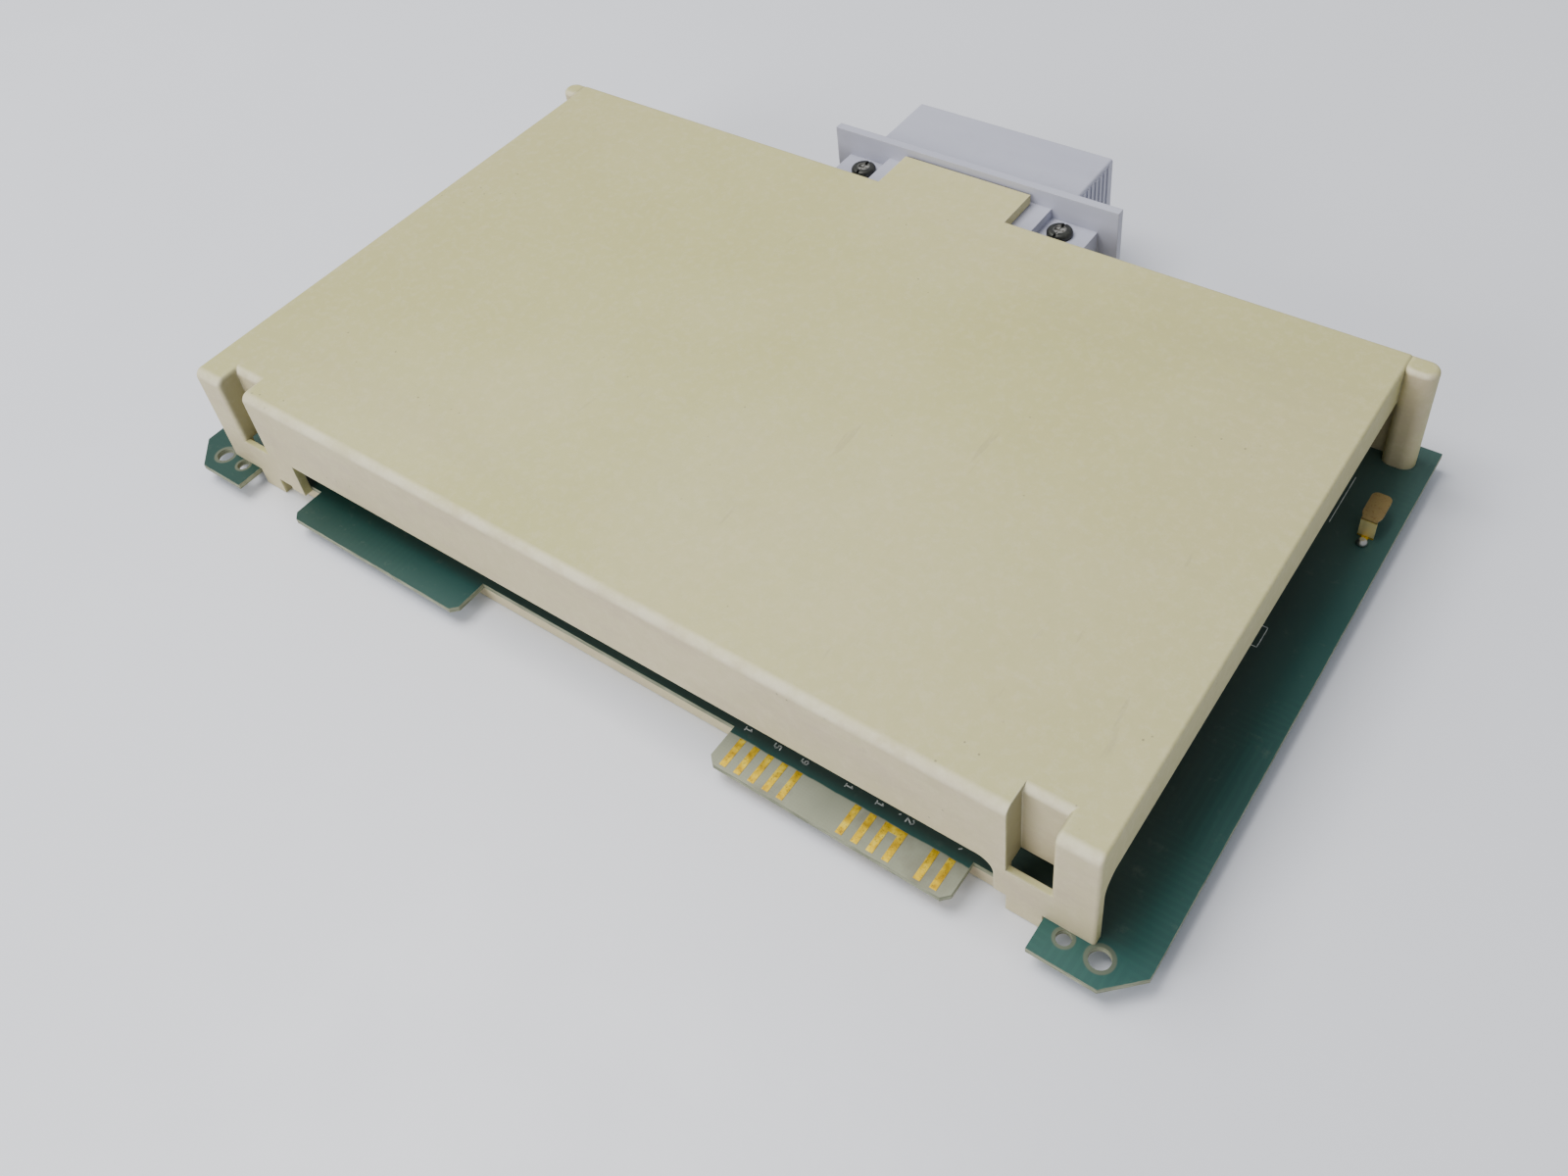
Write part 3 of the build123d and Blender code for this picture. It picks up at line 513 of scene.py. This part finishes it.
SPECIAL = {
    "board_laminate": board_laminate,
    "gold_plating": gold_plating,
    "cover_plastic": cover_plastic,
    "connector_plastic": connector_plastic,
    "black_screw": black_screw,
    "fuse_glass": fuse_glass,
    "capacitor_sleeve": capacitor_sleeve,
    "resistor_body": resistor_body,
}
METALS = {
    "screw_steel": dict(light=srgb(198, 196, 188), dark=srgb(150, 147, 138), rough=0.36),
    "solder": dict(light=srgb(204, 204, 200), dark=srgb(140, 140, 138), rough=0.34,
                   direction=(1, 1, 1), scratch_scale=260),
    "tinned_leads": dict(light=srgb(208, 206, 198), dark=srgb(162, 160, 150), rough=0.38),
    "core_steel": dict(light=srgb(96, 90, 84), dark=srgb(58, 54, 50), rough=0.5,
                       direction=(6, 0.3, 0.3), scratch_scale=900),
    "sink_aluminium": dict(light=srgb(48, 48, 50), dark=srgb(26, 26, 28), rough=0.42,
                           direction=(0.3, 0.3, 3)),
}
MOULDINGS = {
    "package_black": dict(light=srgb(44, 44, 45), dark=srgb(28, 28, 29), rough=0.55, grain=900,
                          grain_depth=0.06, wear_colour=srgb(88, 88, 86), wear=0.4, speck=0.10),
    "package_white": dict(light=srgb(222, 220, 210), dark=srgb(204, 201, 188), rough=0.5, grain=900,
                          wear_colour=srgb(236, 234, 226), wear=0.3, speck=0.08),
    "socket_plastic": dict(light=srgb(50, 51, 54), dark=srgb(34, 35, 37), rough=0.5,
                           wear_colour=srgb(96, 96, 96), wear=0.4, speck=0.10),
    "network_coating": dict(light=srgb(150, 66, 36), dark=srgb(124, 48, 24), rough=0.3, grain=260,
                            grain_depth=0.10, wear_colour=srgb(182, 104, 68), wear=0.3, speck=0.08),
    "ceramic_coating": dict(light=srgb(202, 134, 56), dark=srgb(176, 108, 38), rough=0.3, grain=300,
                            grain_depth=0.10, speck=0.08),
    "converter_case": dict(light=srgb(46, 46, 48), dark=srgb(30, 30, 32), rough=0.46, grain=1100,
                           grain_depth=0.07, wear_colour=srgb(120, 118, 112), wear=0.5, speck=0.10),
    "coil_tape": dict(light=srgb(226, 182, 62), dark=srgb(204, 156, 42), rough=0.28, grain=160,
                      grain_depth=0.12),
    "shunt_plastic": dict(light=srgb(40, 74, 150), dark=srgb(28, 56, 122), rough=0.42,
                          wear_colour=srgb(98, 126, 186), wear=0.4, speck=0.06),
}


def make_material(slot):
    """The procedural material of one material slot of the record."""
    if slot in METALS:
        return metal(slot, **METALS[slot])
    if slot in MOULDINGS:
        return moulded(slot, **MOULDINGS[slot])
    return SPECIAL[slot]()


def dress_nodes():
    """Give every CAD node the procedural material of its slot."""
    made = {}
    for entry in RECORD["subparts"]:
        slot = entry["material_slot"]
        if slot not in made:
            made[slot] = make_material(slot)
        mesh = NODES[entry["node"]].data
        mesh.materials.clear()
        mesh.materials.append(made[slot])


# ---- printed marks on the board -----------------------------------------------------------
def ink():
    """White printing ink, thin in places."""
    g = Graph("silkscreen_ink")
    colour = g.ramp(g.noise(900, 3), [(0.35, srgb(190, 200, 198)), (0.6, srgb(226, 230, 228))])
    rough = g.ramp(g.noise(300, 2), [(0.3, 0.55), (0.7, 0.7)])
    return g.finish(colour, rough, g.bump(g.noise(900, 2), 0.1, 0.02 * MM))


def print_strokes(name, strokes, width, material):
    """Flat printed lines on the board's top face, each stroke a list of x, y points in millimetres."""
    mesh = bmesh.new()
    z = BOARD_TOP + INK_LIFT
    for stroke in strokes:
        for start, end in zip(map(Vector, stroke), map(Vector, stroke[1:])):
            along = (end - start).normalized() * width / 2
            across = Vector((-along.y, along.x))
            corners = (start - along - across, end + along - across,
                       end + along + across, start - along + across)
            mesh.faces.new([mesh.verts.new((c.x * MM, c.y * MM, z)) for c in corners])
    solid = bmesh.ops.extrude_face_region(mesh, geom=mesh.faces[:])
    raised = [v for v in solid["geom"] if isinstance(v, bmesh.types.BMVert)]
    bmesh.ops.translate(mesh, verts=raised, vec=(0, 0, INK_THICKNESS))
    bmesh.ops.recalc_face_normals(mesh, faces=mesh.faces[:])
    data = bpy.data.meshes.new(name)
    mesh.to_mesh(data)
    mesh.free()
    piece = bpy.data.objects.new(name, data)
    bpy.context.scene.collection.objects.link(piece)
    data.materials.append(material)
    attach(piece, "module")


def digit(character, x, y):
    """Strokes of one digit lying on its side, its top towards +X."""
    width = DIGIT_HEIGHT * DIGIT_ASPECT
    return [[(x + v * DIGIT_HEIGHT, y + (0.5 - u) * width) for u, v in stroke]
            for stroke in DIGITS[character]]


def printed_marks():
    """Contact numbers behind the fingers, component outlines near the right edge."""
    material = ink()
    numbers = []
    for character, x in CONTACT_NUMBERS:
        numbers += digit(character, x - DIGIT_BACK, NUMBER_Y)
    print_strokes("contact_numbers", numbers, DIGIT_STROKE, material)
    print_strokes("board_outlines", BOARD_OUTLINES, OUTLINE_STROKE, material)


# ---- camera, floor, light -----------------------------------------------------------------
def camera():
    """A view from above the right end of the contact edge."""
    data = bpy.data.cameras.new("camera")
    data.lens = 33.579
    data.sensor_width = 36.0
    data.shift_x = -0.0062
    data.shift_y = -0.0994
    data.clip_start = 0.01
    data.clip_end = 50
    viewer = bpy.data.objects.new("camera", data)
    viewer.location = (0.18940, -0.22870, 0.28567)
    viewer.rotation_euler = Euler(map(math.radians, (45.723, 5.546, 35.799)), "XYZ")
    bpy.context.scene.collection.objects.link(viewer)
    bpy.context.scene.camera = viewer


def floor():
    """Plain pale glossy floor, just under the part."""
    g = Graph("floor_paint")
    colour = g.ramp(g.noise(3, 3), [(0.3, srgb(233, 235, 244)), (0.7, srgb(238, 240, 249))])
    rough = g.ramp(g.noise(30, 4), [(0.3, 0.28), (0.7, 0.40)])
    g.finish(colour, rough, g.bump(g.noise(150, 3), 0.12, 0.4 * MM), IOR=1.45)
    mesh = bmesh.new()
    bmesh.ops.create_grid(mesh, x_segments=4, y_segments=4, size=4.0)
    data = bpy.data.meshes.new("floor")
    mesh.to_mesh(data)
    mesh.free()
    data.materials.append(g.material)
    piece = bpy.data.objects.new("floor", data)
    piece.location.z = -0.2 * MM
    bpy.context.scene.collection.objects.link(piece)


def area_light(name, place, size, power, colour):
    """Rectangular light that shines at the origin."""
    data = bpy.data.lights.new(name, "AREA")
    data.shape = "RECTANGLE"
    data.size, data.size_y = size
    data.energy = power
    data.color = colour
    lamp = bpy.data.objects.new(name, data)
    lamp.location = place
    lamp.rotation_euler = (-Vector(place)).to_track_quat("-Z", "Y").to_euler()
    bpy.context.scene.collection.objects.link(lamp)


def lights():
    """Large soft light above and to the left, a softer one from the front left, and a pale sky."""
    area_light("key", (-0.60, -0.15, 1.55), (1.0, 1.0), 27, (1.0, 0.99, 0.95))
    area_light("fill", (-0.45, -1.45, 0.66), (0.9, 0.7), 14, (1.0, 0.985, 0.97))
    world = bpy.data.worlds.new("world")
    world.use_nodes = True
    background = world.node_tree.nodes["Background"]
    background.inputs["Color"].default_value = (0.93, 0.96, 1.0, 1.0)
    background.inputs["Strength"].default_value = 0.48
    bpy.context.scene.world = world


dress_nodes()
printed_marks()
camera()
floor()
lights()
